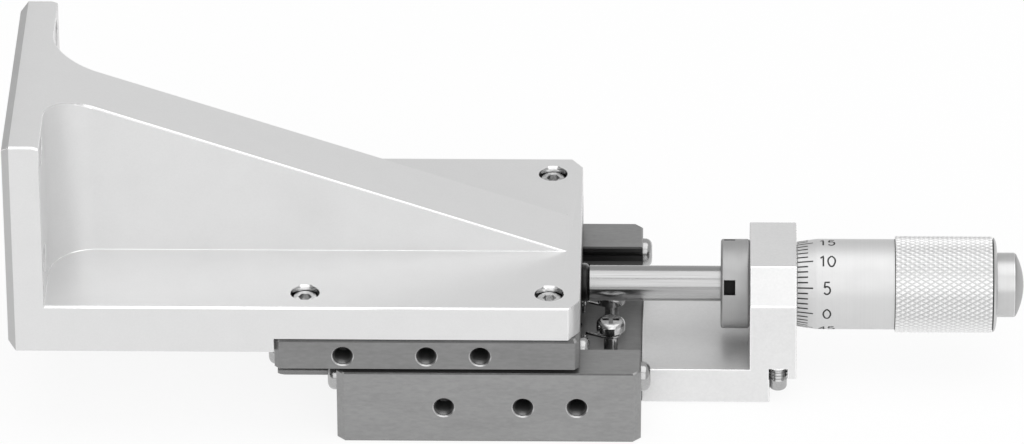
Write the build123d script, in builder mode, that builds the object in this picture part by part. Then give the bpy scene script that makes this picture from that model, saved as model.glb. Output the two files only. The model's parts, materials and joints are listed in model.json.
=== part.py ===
# Ball bearing linear stage with an angle bracket and a micrometer drive, in millimetres.
#
# The origin is the centre of the base's underside, +X runs along the travel towards the
# micrometer, +Y to the rear and +Z up. The carriage is drawn at the left end of its travel,
# with the micrometer screwed fully in.

from build123d import *
from math import asin, cos, degrees, radians, sin, sqrt
import os

os.makedirs("parts", exist_ok=True)

# Platform and travel
stage_size = 65.0  # side of the square base, carriage and bracket
travel = 25.0
over_travel = 0.6  # the carriage rests this far past half the travel, to the left
edge_break = 0.35  # small chamfer on sharp edges

# Ball ways
ball_radius = 2.5
ball_play = 0.03  # between a ball and each groove face, square to the face
rail_width = 11.5  # from the base's side to its row of balls
ball_count = 8  # balls in a row
wall_gap = 0.8  # between a ball's centre and the wall that its groove is cut in
root_gap = 0.4  # between a ball and the flat bottom of a groove

# Ball cages
cage_thickness = 1.0
cage_height = 6.0
cage_end_gap = 0.95  # between a cage's end and the base's end at either end of the travel
cage_margin = 3.3  # from a cage's end to its last ball's centre
pocket_play = 0.05

# Base
base_height = 17.0
channel_floor = 6.5
base_corner = 1.6  # chamfer of the upright corners
ball_drop = 4.0  # from the base's top down to the balls' centres
base_hole_radius = 2.1  # tapped holes in the front side
base_hole_mouth = 2.4
base_hole_height = 8.5
base_holes = ((-9.6, 7.0), (7.3, 7.6), (18.85, 8.2))  # place along the side and depth
foot_hole_radius = 1.65  # tapped holes in the underside
foot_hole_mouth = 1.95
foot_hole_depth = 6.0
hole_inset = 6.5  # from the sides to the square of mounting holes

# Carriage
slide_gap = 1.0  # between the base's top and the carriage's underside
carriage_plate = 7.2
tongue_width = 7.2
tongue_drop = 4.05  # from the balls' centres down to a tongue's lower face
tongue_lead = 1.5  # length of the bevel under each end of a tongue
tongue_lead_height = 0.6
carriage_corner = 1.04
carriage_edge = 0.7
carriage_hole_radius = 2.1
carriage_hole_mouth = 2.4
carriage_hole_drop = 4.1  # below the carriage's top
carriage_holes = ((-17.95, 7.0), (-0.1, 7.6), (11.35, 8.2))  # place from the middle and depth

# Pan head screws at the ends of the ways
screw_radius = 1.5
end_screw_head = 3.15
end_screw_height = 2.0
end_screw_length = 6.0
rail_screw_inset = 6.0  # from the base's side to the screw's axis
tongue_screw_inset = 4.3  # from a tongue's outer face to the screw's axis
end_screw_rounding = 1.5
cross_length = 1.2  # of a pan head's radius, as the next
cross_width = 0.3
cross_depth = 0.5  # of a pan head's height

# Return springs, their posts on the base and their anchors on the carriage
spring_gap = 1.5  # between a spring and the tongue beside it
spring_radius = 2.5
wire_radius = 0.35
spring_drop = 2.4  # from the balls' centres down to a spring's axis
hook_play = 0.1
hook_leg = 5.6  # from a post's axis to the end of the coil
front_hook_rise = 0.55  # of the front hook over the coil's top; the rear one is at its axis
front_head_gap = 0.85  # from the front hook up to the underside of its post's head
rear_head_gap = 0.1
post_inset = 6.65  # from the base's right end to the posts
post_depth = 2.6  # length of the post's thread in the base
anchor_inset = 6.5  # from the carriage's left end to the anchors
anchor_neck_bottom = 0.8  # from the balls' centres down to the top of an anchor's head
anchor_depth = 4.0
post_head_radius = 3.1
post_head_height = 2.3
post_rounding = 1.15

# Angle bracket
bracket_reach = 56.75  # from the carriage's left end to the bracket's outer face
bracket_rise = 46.5  # from the carriage's top to the bracket's top
bracket_plate = 8.0
bracket_floor = 7.8
bracket_lip = 3.2  # how far the bracket hooks down over the carriage's left end
bracket_rim = 1.65  # chamfer round the outer face
bracket_corner_x = 2.35
bracket_corner_y = 3.6
gusset_width = 15.8
gusset_drop = 0.45  # from the bracket's top down to the slope, at the plate's inner face
gusset_toe = 3.0  # from the bracket's right end to the gusset's lower end
pocket_radius = 10.0  # upright fillets between the plate and the gusset
plate_hole_drop = 4.5  # from the bracket's top down to the upper pair of holes
plate_hole_rise = 26.0  # between the upper and the lower pair

# Socket head screws that hold the bracket, and their seats
bolt_head_radius = 2.75
bolt_head_height = 3.0
bolt_hex = 2.5  # across the flats of the socket
bolt_hex_depth = 1.6
bolt_length = 10.0
seat_radius = 3.08
seat_recess = 1.0  # from the surface down to the head's top
clear_radius = 1.7

# Micrometer arm
drive_rise = 2.66  # from the carriage's underside up to the micrometer's axis
arm_half_width = 16.0
arm_lift = 0.25  # under the arm
arm_top = 8.5
block_thickness = 10.1
block_rise = 9.84  # from the micrometer's axis up to the block's top
block_bevel = 6.4
step_inset = 5.7  # from the block's right face to the step in its underside
step_height = 6.06
foot_length = 20.0
foot_half_width = 12.0
foot_top = 3.2
foot_play = 0.2
arm_screw_inset = 14.5  # from the base's right end to the screws in the foot
arm_screw_row = 6.0
arm_screw_head = 2.8
arm_screw_tip = 6.3

# Set screw in the block's underside
set_screw_radius = 1.95
set_screw_inset = 3.9  # from the block's right face to the screw's axis
set_screw_side = 2.0  # from the arm's front face to the screw's axis
set_screw_top = 14.5
set_screw_tip = 2.9
set_screw_rounding = 0.9
notch_depth = 4.0

# Micrometer head
spindle_radius = 3.85
spindle_nose = 3.6  # how far the spindle stands out of the nut when it is drawn back
pad_thickness = 1.43
pad_radius = 4.0
pad_shank_radius = 2.0
pad_shank_length = 5.0
pad_gap = 0.05
running_gap = 0.05
nut_radius = 9.65
nut_thickness = 6.22
nut_rounding = 0.6
nut_slot_width = 3.2
nut_slot_length = 2.4
nut_slot_depth = 2.0
nut_slot_inset = 0.68  # from the nut's left face
nut_slot_angle = 24.5  # of the first slot, from the front towards the top
barrel_radius = 6.0
barrel_recess = 0.5  # from the nut's face back to the barrel's end
sleeve_radius = 7.95
sleeve_reach = 4.0  # from the block's right face, past the travel, to the sleeve's end
tail_radius = 6.2
tail_length = 6.0
thread_length = 11.0  # of the lead screw's nut thread at the barrel's tail
adjusting_radius = 7.4
adjusting_thickness = 4.0
adjusting_slot = 1.6
lead_radius = 3.25
journal_radius = 2.0
journal_length = 7.85
journal_depth = 8.0
key_radius = 1.0
key_bite = 1.0  # how far the key stands into the spindle's keyway
key_seat = 0.2  # from the barrel's surface up to the key's lower end
keyway_depth = 1.2
keyway_width = 2.1
spindle_stop_gap = 0.5  # from the drawn back spindle's rear to the nut thread

# Thimble, grip sleeve and end cap
thimble_gap = 0.12
thimble_radius = 9.75
thimble_nose = 9.1
thimble_taper = 4.2
thimble_bore = 8.25
thimble_end_gap = 2.7  # from the barrel's tail to the thimble's end wall, at rest
thimble_end_wall = 3.0
grip_seat_step = 0.5  # from the thimble's outside down to the grip's seat
grip_wall = 1.15
grip_length = 20.7
grip_end_wall = 1.1
grip_cone = 1.4
grip_cone_radius = 7.3
knob_radius = 6.97
knob_length = 4.2
knob_dome = 1.6
knob_edge = 0.4
knob_shank_radius = 1.75
knob_shank_length = 7.0

# Sizes worked out from the driving ones
half_size = stage_size / 2
hole_pattern = stage_size - 2 * hole_inset
rest_offset = travel / 2 + over_travel
ball_row = half_size - rail_width
ball_z = base_height - ball_drop
groove_reach = (ball_radius + ball_play) * sqrt(2)
groove_half = groove_reach - wall_gap
flat_half = groove_reach - ball_radius - root_gap
channel_half = ball_row + wall_gap
rail_root = ball_row + ball_radius + root_gap
tongue_outer = ball_row - wall_gap
tongue_root = ball_row - ball_radius - root_gap
tongue_inner = tongue_outer - tongue_width
spring_row = tongue_inner - spring_gap - spring_radius
tongue_bottom = ball_z - tongue_drop
tongue_screw_row = tongue_outer - tongue_screw_inset
rail_screw_row = half_size - rail_screw_inset
cage_length = stage_size - rest_offset - 2 * cage_end_gap
cage_x = -rest_offset / 2
ball_pitch = (cage_length - 2 * cage_margin) / (ball_count - 1)

carriage_x = -rest_offset
carriage_left = carriage_x - half_size
carriage_right = carriage_x + half_size
carriage_bottom = base_height + slide_gap
carriage_top = carriage_bottom + carriage_plate
carriage_hole_z = carriage_top - carriage_hole_drop

bracket_left = carriage_left - bracket_reach
bracket_inner = bracket_left + bracket_plate
bracket_top = carriage_top + bracket_rise
floor_top = carriage_top + bracket_floor
lip_bottom = carriage_top - bracket_lip
gusset_top = bracket_top - gusset_drop
toe_x = carriage_right - gusset_toe
slope_x = bracket_inner - gusset_drop * (toe_x - bracket_inner) / (gusset_top - floor_top)
seat_depth = seat_recess + bolt_head_height
upper_holes_z = bracket_top - plate_hole_drop
plate_holes_z = upper_holes_z - plate_hole_rise / 2

drive_z = carriage_bottom + drive_rise
tip_x = carriage_right + pad_thickness + pad_gap
nut_left = tip_x + travel + spindle_nose
block_left = nut_left + nut_thickness
block_right = block_left + block_thickness
block_top = drive_z + block_rise
step_x = block_right - step_inset
set_screw_x = block_right - set_screw_inset
set_screw_row = arm_half_width - set_screw_side
post_x = half_size - post_inset
anchor_x = carriage_left + anchor_inset
spring_z = ball_z - spring_drop
coil_top = spring_z + spring_radius - wire_radius

barrel_left = nut_left + barrel_recess
sleeve_right = block_right + travel + sleeve_reach
barrel_right = sleeve_right + tail_length
thread_left = barrel_right - thread_length
spindle_rear = thread_left - travel - spindle_stop_gap
key_x = (block_left + block_right) / 2
thimble_left = block_right + thimble_gap
thimble_end = barrel_right + thimble_end_gap + thimble_end_wall
grip_seat_radius = thimble_radius - grip_seat_step
grip_radius = grip_seat_radius + grip_wall
grip_right = thimble_end + grip_end_wall
grip_left = grip_right - grip_length
knob_left = grip_right + grip_cone
knob_right = knob_left + knob_length
lead_left = spindle_rear + running_gap
lead_right = grip_right

drive_axis = Axis((0, 0, drive_z), (1, 0, 0))
drive_plane = Plane(origin=(0, 0, drive_z), x_dir=(1, 0, 0), z_dir=(0, -1, 0))


def front_hole(x, z):
    """Plane on the front side at a hole's mouth, facing out."""
    return Plane(origin=(x, -half_size, z), x_dir=(1, 0, 0), z_dir=(0, -1, 0))


def below(x, y, z):
    """Plane that faces down at a point, for what enters from below."""
    return Plane(origin=(x, y, z), x_dir=(1, 0, 0), z_dir=(0, 0, -1))


def upright(x, y):
    """Upright plane through a vertical screw's axis, with the axis as its own Y."""
    return Plane(origin=(x, y, 0), x_dir=(1, 0, 0), z_dir=(0, -1, 0))


def end_plane(x, y, z, way):
    """Plane across the travel that faces +X or -X."""
    return Plane(origin=(x, y, z), x_dir=(0, way, 0), z_dir=(way, 0, 0))


def keep(builder, name):
    """Label a finished piece and write it."""
    builder.part.label = name
    export_step(builder.part, f"parts/{name}.step")


# Places that several pieces share
rail_screw_places = [
    end_plane(way * half_size, side * rail_screw_row, ball_z, way)
    for way in (-1, 1) for side in (-1, 1)
]
tongue_screw_places = [
    end_plane(carriage_x + way * half_size, side * tongue_screw_row, ball_z, way)
    for way in (-1, 1) for side in (-1, 1)
]
bracket_screw_places = [
    (carriage_x + i * hole_pattern / 2, j * hole_pattern / 2) for i in (-1, 1) for j in (-1, 1)
]
arm_screw_places = [(half_size - arm_screw_inset, side * arm_screw_row) for side in (-1, 1)]
sides = {"front": -1, "rear": 1}


# Base: a channel with a 90 degree groove for the balls in each wall
with BuildPart() as base_body:
    with BuildSketch(Plane.YZ.offset(-half_size)) as base_section:
        with BuildLine() as rail_outline:
            Polyline(
                (0, 0),
                (half_size, 0),
                (half_size, base_height),
                (channel_half, base_height),
                (channel_half, ball_z + groove_half),
                (rail_root, ball_z + flat_half),
                (rail_root, ball_z - flat_half),
                (channel_half, ball_z - groove_half),
                (channel_half, channel_floor),
                (0, channel_floor),
                close=True,
            )
        make_face()
        mirror(about=Plane.YZ)
    extrude(amount=stage_size)
    base_corners = base_body.edges().filter_by(Axis.Z).group_by(Axis.Y)
    chamfer(base_corners[0] + base_corners[-1], base_corner)
    chamfer(base_body.faces().sort_by(Axis.Z)[0].edges(), edge_break)
    rail_tops = base_body.faces().sort_by(Axis.Z)[-2:]
    chamfer(rail_tops.edges(), edge_break)
    for x, depth in base_holes:
        with Locations(front_hole(x, base_hole_height)):
            CounterSinkHole(base_hole_radius, base_hole_mouth, depth, 90)
    with BuildSketch(Plane.XY) as foot_pocket:
        with Locations((half_size - foot_length / 2 - foot_play / 2, 0)):
            Rectangle(foot_length + foot_play, 2 * (foot_half_width + foot_play))
    extrude(amount=foot_top, mode=Mode.SUBTRACT)
    with Locations(below(0, 0, 0)):
        with GridLocations(hole_pattern, hole_pattern, 2, 2):
            CounterSinkHole(foot_hole_radius, foot_hole_mouth, foot_hole_depth, 90)
    with Locations(*rail_screw_places):
        Hole(screw_radius, end_screw_length)
    with Locations(*[(post_x, side * spring_row, channel_floor) for side in sides.values()]):
        Hole(screw_radius, post_depth)
    with Locations(*[below(x, y, foot_top) for x, y in arm_screw_places]):
        Hole(screw_radius, channel_floor - foot_top)
keep(base_body, "base_body")

# Carriage: a plate with two tongues that carry the inner grooves
with BuildPart() as carriage_body:
    with BuildSketch(Plane.YZ.offset(carriage_left)) as carriage_section:
        with BuildLine() as tongue_outline:
            Polyline(
                (0, carriage_top),
                (half_size, carriage_top),
                (half_size, carriage_bottom),
                (tongue_outer, carriage_bottom),
                (tongue_outer, ball_z + groove_half),
                (tongue_root, ball_z + flat_half),
                (tongue_root, ball_z - flat_half),
                (tongue_outer, ball_z - groove_half),
                (tongue_outer, tongue_bottom),
                (tongue_inner, tongue_bottom),
                (tongue_inner, carriage_bottom),
                (0, carriage_bottom),
                close=True,
            )
        make_face()
        mirror(about=Plane.YZ)
    extrude(amount=stage_size)
    carriage_corners = carriage_body.edges().filter_by(Axis.Z).group_by(Axis.Y)
    chamfer(carriage_corners[0] + carriage_corners[-1], carriage_corner)
    chamfer(carriage_body.faces().sort_by(Axis.Z)[-1].edges(), carriage_edge)
    tongue_feet = carriage_body.faces().sort_by(Axis.Z)[:2]
    chamfer(tongue_feet.edges().filter_by(Axis.X), edge_break)
    for way in (-1, 1):
        tongue_end = carriage_x + way * half_size
        with BuildSketch(Plane.XZ) as lead_section:
            with BuildLine() as lead_outline:
                Polyline(
                    (tongue_end, tongue_bottom),
                    (tongue_end, tongue_bottom + tongue_lead_height),
                    (tongue_end - way * tongue_lead, tongue_bottom),
                    close=True,
                )
            make_face()
        extrude(amount=tongue_outer, both=True, mode=Mode.SUBTRACT)
    for x, depth in carriage_holes:
        with Locations(front_hole(carriage_x + x, carriage_hole_z)):
            CounterSinkHole(carriage_hole_radius, carriage_hole_mouth, depth, 90)
    with Locations(*[(x, y, carriage_top) for x, y in bracket_screw_places]):
        Hole(screw_radius, carriage_plate)
    with Locations(*tongue_screw_places):
        Hole(screw_radius, end_screw_length)
    with Locations(*[below(anchor_x, side * spring_row, carriage_bottom) for side in sides.values()]):
        Hole(screw_radius, anchor_depth)
    with Locations(end_plane(carriage_right, 0, drive_z, 1)):
        Hole(pad_shank_radius, pad_shank_length)
keep(carriage_body, "carriage_body")

# Angle bracket: an upright plate, a floor over the carriage and a sloping gusset in the middle
with BuildPart() as angle_bracket:
    with BuildSketch(Plane.XZ) as bracket_profile:
        with BuildLine() as bracket_outline:
            Polyline(
                (bracket_left, lip_bottom),
                (carriage_left, lip_bottom),
                (carriage_left, carriage_top),
                (carriage_right, carriage_top),
                (carriage_right, floor_top),
                (bracket_inner, floor_top),
                (bracket_inner, bracket_top),
                (bracket_left, bracket_top),
                close=True,
            )
        make_face()
    extrude(amount=half_size, both=True)
    chamfer(angle_bracket.faces().sort_by(Axis.X)[0].edges(), bracket_rim)
    right_corners = angle_bracket.edges().filter_by(Axis.Z).group_by(Axis.X)[-1]
    right_face = angle_bracket.faces().sort_by(Axis.X)[-1]
    chamfer(right_corners, bracket_corner_y, bracket_corner_x, reference=right_face)
    with BuildSketch(Plane.XY.offset(floor_top)) as gusset_plan:
        with BuildLine() as gusset_outline:
            fillet_x = bracket_inner + pocket_radius
            fillet_y = gusset_width / 2 + pocket_radius
            Line((bracket_inner, 0), (bracket_inner, fillet_y))
            CenterArc((fillet_x, fillet_y), pocket_radius, 180, 90)
            Line((fillet_x, gusset_width / 2), (toe_x, gusset_width / 2))
            Line((toe_x, gusset_width / 2), (toe_x, 0))
            Line((toe_x, 0), (bracket_inner, 0))
        make_face()
        mirror(about=Plane.XZ)
    extrude(amount=gusset_top - floor_top)
    with BuildSketch(Plane.XZ) as slope_profile:
        with BuildLine() as slope_outline:
            Polyline(
                (slope_x, bracket_top),
                (toe_x, floor_top),
                (toe_x, bracket_top),
                close=True,
            )
        make_face()
    extrude(amount=half_size, both=True, mode=Mode.SUBTRACT)
    with Locations(*[(x, y, floor_top) for x, y in bracket_screw_places]):
        CounterBoreHole(clear_radius, seat_radius, seat_depth, bracket_floor)
    with Locations(Plane(origin=(bracket_inner, 0, plate_holes_z), x_dir=(0, 1, 0), z_dir=(1, 0, 0))):
        with GridLocations(hole_pattern, plate_hole_rise, 2, 2):
            CounterBoreHole(clear_radius, seat_radius, seat_depth, bracket_plate)
keep(angle_bracket, "angle_bracket")

# Screws that hold the bracket on the carriage
for number, (x, y) in enumerate(bracket_screw_places, start=1):
    head_top = floor_top - seat_recess
    with BuildPart() as bracket_screw:
        with BuildSketch(Plane.XY.offset(head_top)) as bolt_head:
            with Locations((x, y)):
                Circle(bolt_head_radius)
        extrude(amount=-bolt_head_height)
        chamfer(bracket_screw.faces().sort_by(Axis.Z)[-1].edges(), edge_break)
        with BuildSketch(Plane.XY.offset(head_top)) as bolt_socket:
            with Locations((x, y)):
                RegularPolygon(bolt_hex / 2, 6, major_radius=False)
        extrude(amount=-bolt_hex_depth, mode=Mode.SUBTRACT)
        with BuildSketch(Plane.XY.offset(head_top - bolt_head_height)) as bolt_shank:
            with Locations((x, y)):
                Circle(screw_radius)
        extrude(amount=-bolt_length)
    keep(bracket_screw, f"bracket_screw_{number}")


def pan_screw(head_radius, head_height, rounding, shank_length):
    """Pan head screw with its head's underside on the XY plane and its shank below."""
    with BuildPart() as screw:
        Cylinder(head_radius, head_height, align=(Align.CENTER, Align.CENTER, Align.MIN))
        fillet(screw.faces().sort_by(Axis.Z)[-1].edges(), rounding)
        with BuildSketch(Plane.XY.offset(head_height)) as cross:
            Rectangle(cross_length * head_radius, cross_width * head_radius)
            Rectangle(cross_width * head_radius, cross_length * head_radius)
        extrude(amount=-cross_depth * head_height, mode=Mode.SUBTRACT)
        Cylinder(screw_radius, shank_length, align=(Align.CENTER, Align.CENTER, Align.MAX))
    return screw.part


# Pan head screws at the ends of the ways, which stop the cages and the balls
end_screw = pan_screw(
    end_screw_head, end_screw_height, end_screw_rounding, end_screw_length
)
for owner, places in (("base", rail_screw_places), ("carriage", tongue_screw_places)):
    for number, place in enumerate(places, start=1):
        with BuildPart() as way_screw:
            with Locations(place):
                add(end_screw)
        keep(way_screw, f"{owner}_end_screw_{number}")

# Return springs with a hook at each end, their posts on the base and anchors under the carriage
anchor_neck = carriage_bottom - (ball_z - anchor_neck_bottom)
anchor_screw = pan_screw(
    post_head_radius, post_head_height, post_rounding, anchor_neck + anchor_depth
)
hook_radius = screw_radius + hook_play + wire_radius
hook_heights = {"front": coil_top + front_hook_rise, "rear": spring_z}
head_gaps = {"front": front_head_gap, "rear": rear_head_gap}
for side_name, side in sides.items():
    y = side * spring_row
    post_hook_z = hook_heights[side_name]
    neck_top = post_hook_z + wire_radius + head_gaps[side_name]
    post_neck = neck_top - channel_floor
    with BuildPart() as spring_post:
        with Locations((post_x, y, neck_top)):
            add(pan_screw(post_head_radius, post_head_height, post_rounding, post_neck + post_depth))
    keep(spring_post, f"spring_post_{side_name}")

    with BuildPart() as spring_anchor:
        with Locations(below(anchor_x, y, ball_z - anchor_neck_bottom)):
            add(anchor_screw)
    keep(spring_anchor, f"spring_anchor_{side_name}")

    coil_length = post_x - anchor_x - 2 * hook_leg
    with BuildPart() as return_spring:
        with BuildSketch(Plane.YZ.offset(anchor_x + hook_leg)) as coil_section:
            with Locations((y, spring_z)):
                Circle(spring_radius)
                Circle(spring_radius - 2 * wire_radius, mode=Mode.SUBTRACT)
        extrude(amount=coil_length)
        with BuildSketch(Plane.XY.offset(coil_top)) as riser_section:
            with Locations((post_x - hook_leg, y)):
                Circle(wire_radius)
        extrude(amount=post_hook_z - coil_top)
        for hook_x, way, leg_z in ((anchor_x, 1, coil_top), (post_x, -1, post_hook_z)):
            leg_start = hook_x + way * hook_radius
            with BuildSketch(Plane.YZ.offset(leg_start)) as leg_section:
                with Locations((y, leg_z)):
                    Circle(wire_radius)
            extrude(amount=way * (hook_leg - hook_radius + wire_radius))
            with Locations((hook_x, y, leg_z)):
                Torus(hook_radius, wire_radius)
    keep(return_spring, f"return_spring_{side_name}")

# Ball cages and balls
for side_name, side in sides.items():
    row_y = side * ball_row
    ball_places = [
        (cage_x + (i - (ball_count - 1) / 2) * ball_pitch, row_y, ball_z) for i in range(ball_count)
    ]
    with BuildPart() as ball_cage:
        with BuildSketch(Plane.XZ.offset(-row_y)) as cage_outline:
            with Locations((cage_x, ball_z)):
                RectangleRounded(cage_length, cage_height, cage_height / 6)
            with Locations(*[(x, z) for x, _, z in ball_places]):
                Circle(ball_radius + pocket_play, mode=Mode.SUBTRACT)
        extrude(amount=cage_thickness / 2, both=True)
    keep(ball_cage, f"ball_cage_{side_name}")

    for number, place in enumerate(ball_places, start=1):
        with BuildPart() as ball:
            with Locations(place):
                Sphere(ball_radius)
        keep(ball, f"ball_{side_name}_{number}")

# Micrometer arm: a foot under the base, a flat arm and the block that holds the micrometer
with BuildPart() as micrometer_arm:
    with BuildSketch(Plane.XZ) as arm_profile:
        with BuildLine() as arm_outline:
            Polyline(
                (half_size, arm_lift),
                (step_x, arm_lift),
                (step_x, step_height),
                (block_right, step_height),
                (block_right, block_top),
                (block_left, block_top),
                (block_left, arm_top),
                (half_size, arm_top),
                close=True,
            )
        make_face()
    extrude(amount=arm_half_width, both=True)
    chamfer(micrometer_arm.edges().filter_by(Axis.X).group_by(Axis.Z)[-1], block_bevel)
    with BuildSketch(Plane.XY.offset(arm_lift)) as foot_outline:
        with Locations((half_size - foot_length / 2, 0)):
            Rectangle(foot_length, 2 * foot_half_width)
    extrude(amount=foot_top - arm_lift)
    with Locations(end_plane(block_left, 0, drive_z, -1)):
        Hole(barrel_radius, block_thickness)
    with Locations(*[below(x, y, arm_lift) for x, y in arm_screw_places]):
        CounterSinkHole(screw_radius, arm_screw_head, foot_top - arm_lift, 90)
    with BuildSketch(Plane.XY.offset(step_height)) as notch_outline:
        with Locations((set_screw_x, notch_depth / 2 - arm_half_width)):
            Rectangle(2 * set_screw_radius, notch_depth)
    extrude(amount=arm_top - step_height, mode=Mode.SUBTRACT)
    with Locations(below(set_screw_x, -set_screw_row, arm_top)):
        Hole(set_screw_radius, set_screw_top - arm_top)
keep(micrometer_arm, "micrometer_arm")

# Countersunk screws that hold the arm's foot in the base
for number, (x, y) in enumerate(arm_screw_places, start=1):
    with BuildPart() as arm_screw:
        with BuildSketch(upright(x, y)) as arm_screw_half:
            with BuildLine() as arm_screw_outline:
                Polyline(
                    (0, arm_lift),
                    (arm_screw_head, arm_lift),
                    (screw_radius, arm_lift + arm_screw_head - screw_radius),
                    (screw_radius, arm_screw_tip),
                    (0, arm_screw_tip),
                    close=True,
                )
            make_face()
        revolve(axis=Axis((x, y, 0), (0, 0, 1)))
        with BuildSketch(Plane.XY.offset(arm_lift)) as arm_socket:
            with Locations((x, y)):
                RegularPolygon(bolt_hex / 2, 6, major_radius=False)
        extrude(amount=bolt_hex_depth, mode=Mode.SUBTRACT)
    keep(arm_screw, f"arm_screw_{number}")

# Set screw, which stands out of the block's underside with a rounded end
with BuildPart() as set_screw:
    with BuildSketch(Plane.XY.offset(set_screw_tip)) as set_screw_section:
        with Locations((set_screw_x, -set_screw_row)):
            Circle(set_screw_radius)
    extrude(amount=set_screw_top - set_screw_tip)
    fillet(set_screw.faces().sort_by(Axis.Z)[0].edges(), set_screw_rounding)
keep(set_screw, "set_screw")

# Thrust pad, pressed into the carriage's right end
with BuildPart() as thrust_pad:
    with BuildSketch(drive_plane) as pad_half:
        with BuildLine() as pad_outline:
            Polyline(
                (carriage_right - pad_shank_length, 0),
                (carriage_right - pad_shank_length, pad_shank_radius),
                (carriage_right, pad_shank_radius),
                (carriage_right, pad_radius),
                (carriage_right + pad_thickness - edge_break, pad_radius),
                (carriage_right + pad_thickness, pad_radius - edge_break),
                (carriage_right + pad_thickness, 0),
                close=True,
            )
        make_face()
    revolve(axis=drive_axis)
keep(thrust_pad, "thrust_pad")

# Barrel: a shank through the block, the sleeve under the thimble and a threaded tail
with BuildPart() as micrometer_barrel:
    with BuildSketch(drive_plane) as barrel_half:
        with BuildLine() as barrel_outline:
            Polyline(
                (barrel_left, spindle_radius + running_gap),
                (barrel_left, barrel_radius),
                (block_right, barrel_radius),
                (block_right, sleeve_radius),
                (sleeve_right, sleeve_radius),
                (sleeve_right, tail_radius),
                (barrel_right, tail_radius),
                (barrel_right, lead_radius + running_gap),
                (thread_left, lead_radius + running_gap),
                (thread_left, spindle_radius + running_gap),
                close=True,
            )
        make_face()
    revolve(axis=drive_axis)
    with Locations(below(key_x, 0, drive_z - spindle_radius)):
        Hole(key_radius, barrel_radius)
keep(micrometer_barrel, "micrometer_barrel")

# Clamp nut on the barrel's front thread, with four spanner slots
with BuildPart() as clamp_nut:
    with BuildSketch(drive_plane) as nut_half:
        with BuildLine() as nut_outline:
            Polyline(
                (nut_left, barrel_radius),
                (nut_left, nut_radius),
                (block_left, nut_radius),
                (block_left, barrel_radius),
                close=True,
            )
        make_face()
    revolve(axis=drive_axis)
    nut_rims = clamp_nut.edges().filter_by(GeomType.CIRCLE).sort_by(SortBy.RADIUS)[-2:]
    fillet(nut_rims, nut_rounding)
    for quarter in range(4):
        turn = radians(nut_slot_angle + 90 * quarter)
        outward = (0, -cos(turn), sin(turn))
        slot_centre = (
            nut_left + nut_slot_inset + nut_slot_length / 2,
            -nut_radius * cos(turn),
            drive_z + nut_radius * sin(turn),
        )
        with BuildSketch(Plane(origin=slot_centre, x_dir=(1, 0, 0), z_dir=outward)) as nut_slot:
            Rectangle(nut_slot_length, nut_slot_width)
        extrude(amount=-nut_slot_depth, mode=Mode.SUBTRACT)
        extrude(nut_slot.sketch, amount=nut_slot_depth, mode=Mode.SUBTRACT)
keep(clamp_nut, "clamp_nut")

# Adjusting nut, which closes the barrel's tail on the lead screw to take up the play
with BuildPart() as adjusting_nut:
    with BuildSketch(Plane.YZ.offset(barrel_right - tail_length / 2)) as adjusting_section:
        with Locations((0, drive_z)):
            Circle(adjusting_radius)
            Circle(tail_radius, mode=Mode.SUBTRACT)
            with PolarLocations(adjusting_radius, 2):
                Rectangle(adjusting_slot, adjusting_slot, mode=Mode.SUBTRACT)
    extrude(amount=adjusting_thickness / 2, both=True)
keep(adjusting_nut, "adjusting_nut")

# Key that keeps the spindle from turning
with BuildPart() as spindle_key:
    with BuildSketch(Plane.XY.offset(drive_z - barrel_radius + key_seat)) as key_section:
        with Locations((key_x, 0)):
            Circle(key_radius)
    extrude(amount=barrel_radius - key_seat - spindle_radius + key_bite)
keep(spindle_key, "spindle_key")

# Spindle: slides in the barrel, with a keyway below and a bearing bore at its rear
with BuildPart() as spindle:
    with BuildSketch(drive_plane) as spindle_half:
        with BuildLine() as spindle_outline:
            Polyline(
                (tip_x, 0),
                (tip_x, spindle_radius - edge_break),
                (tip_x + edge_break, spindle_radius),
                (spindle_rear, spindle_radius),
                (spindle_rear, journal_radius + running_gap),
                (spindle_rear - journal_depth, journal_radius + running_gap),
                (spindle_rear - journal_depth, 0),
                close=True,
            )
        make_face()
    revolve(axis=drive_axis)
    keyway_length = travel + keyway_width + 2 * running_gap
    with BuildSketch(Plane.XY.offset(drive_z - spindle_radius)) as keyway:
        with Locations((key_x - travel / 2, 0)):
            SlotOverall(keyway_length, keyway_width)
    extrude(amount=keyway_depth, mode=Mode.SUBTRACT)
keep(spindle, "spindle")

# Lead screw: turns with the thimble and pushes the spindle with its shoulder
with BuildPart() as lead_screw:
    with BuildSketch(drive_plane) as lead_half:
        with BuildLine() as lead_outline:
            Polyline(
                (lead_left - journal_length, 0),
                (lead_left - journal_length, journal_radius),
                (lead_left, journal_radius),
                (lead_left, lead_radius),
                (lead_right, lead_radius),
                (lead_right, knob_shank_radius),
                (knob_left - knob_shank_length, knob_shank_radius),
                (knob_left - knob_shank_length, 0),
                close=True,
            )
        make_face()
    revolve(axis=drive_axis)
keep(lead_screw, "lead_screw")

# Thimble: a bevelled tube that reads against the sleeve, closed at its rear
with BuildPart() as thimble:
    with BuildSketch(drive_plane) as thimble_half:
        with BuildLine() as thimble_outline:
            Polyline(
                (thimble_left, thimble_bore),
                (thimble_left, thimble_nose),
                (thimble_left + thimble_taper, thimble_radius),
                (grip_left, thimble_radius),
                (grip_left, grip_seat_radius),
                (thimble_end, grip_seat_radius),
                (thimble_end, lead_radius),
                (thimble_end - thimble_end_wall, lead_radius),
                (thimble_end - thimble_end_wall, thimble_bore),
                close=True,
            )
        make_face()
    revolve(axis=drive_axis)
keep(thimble, "thimble")

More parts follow.
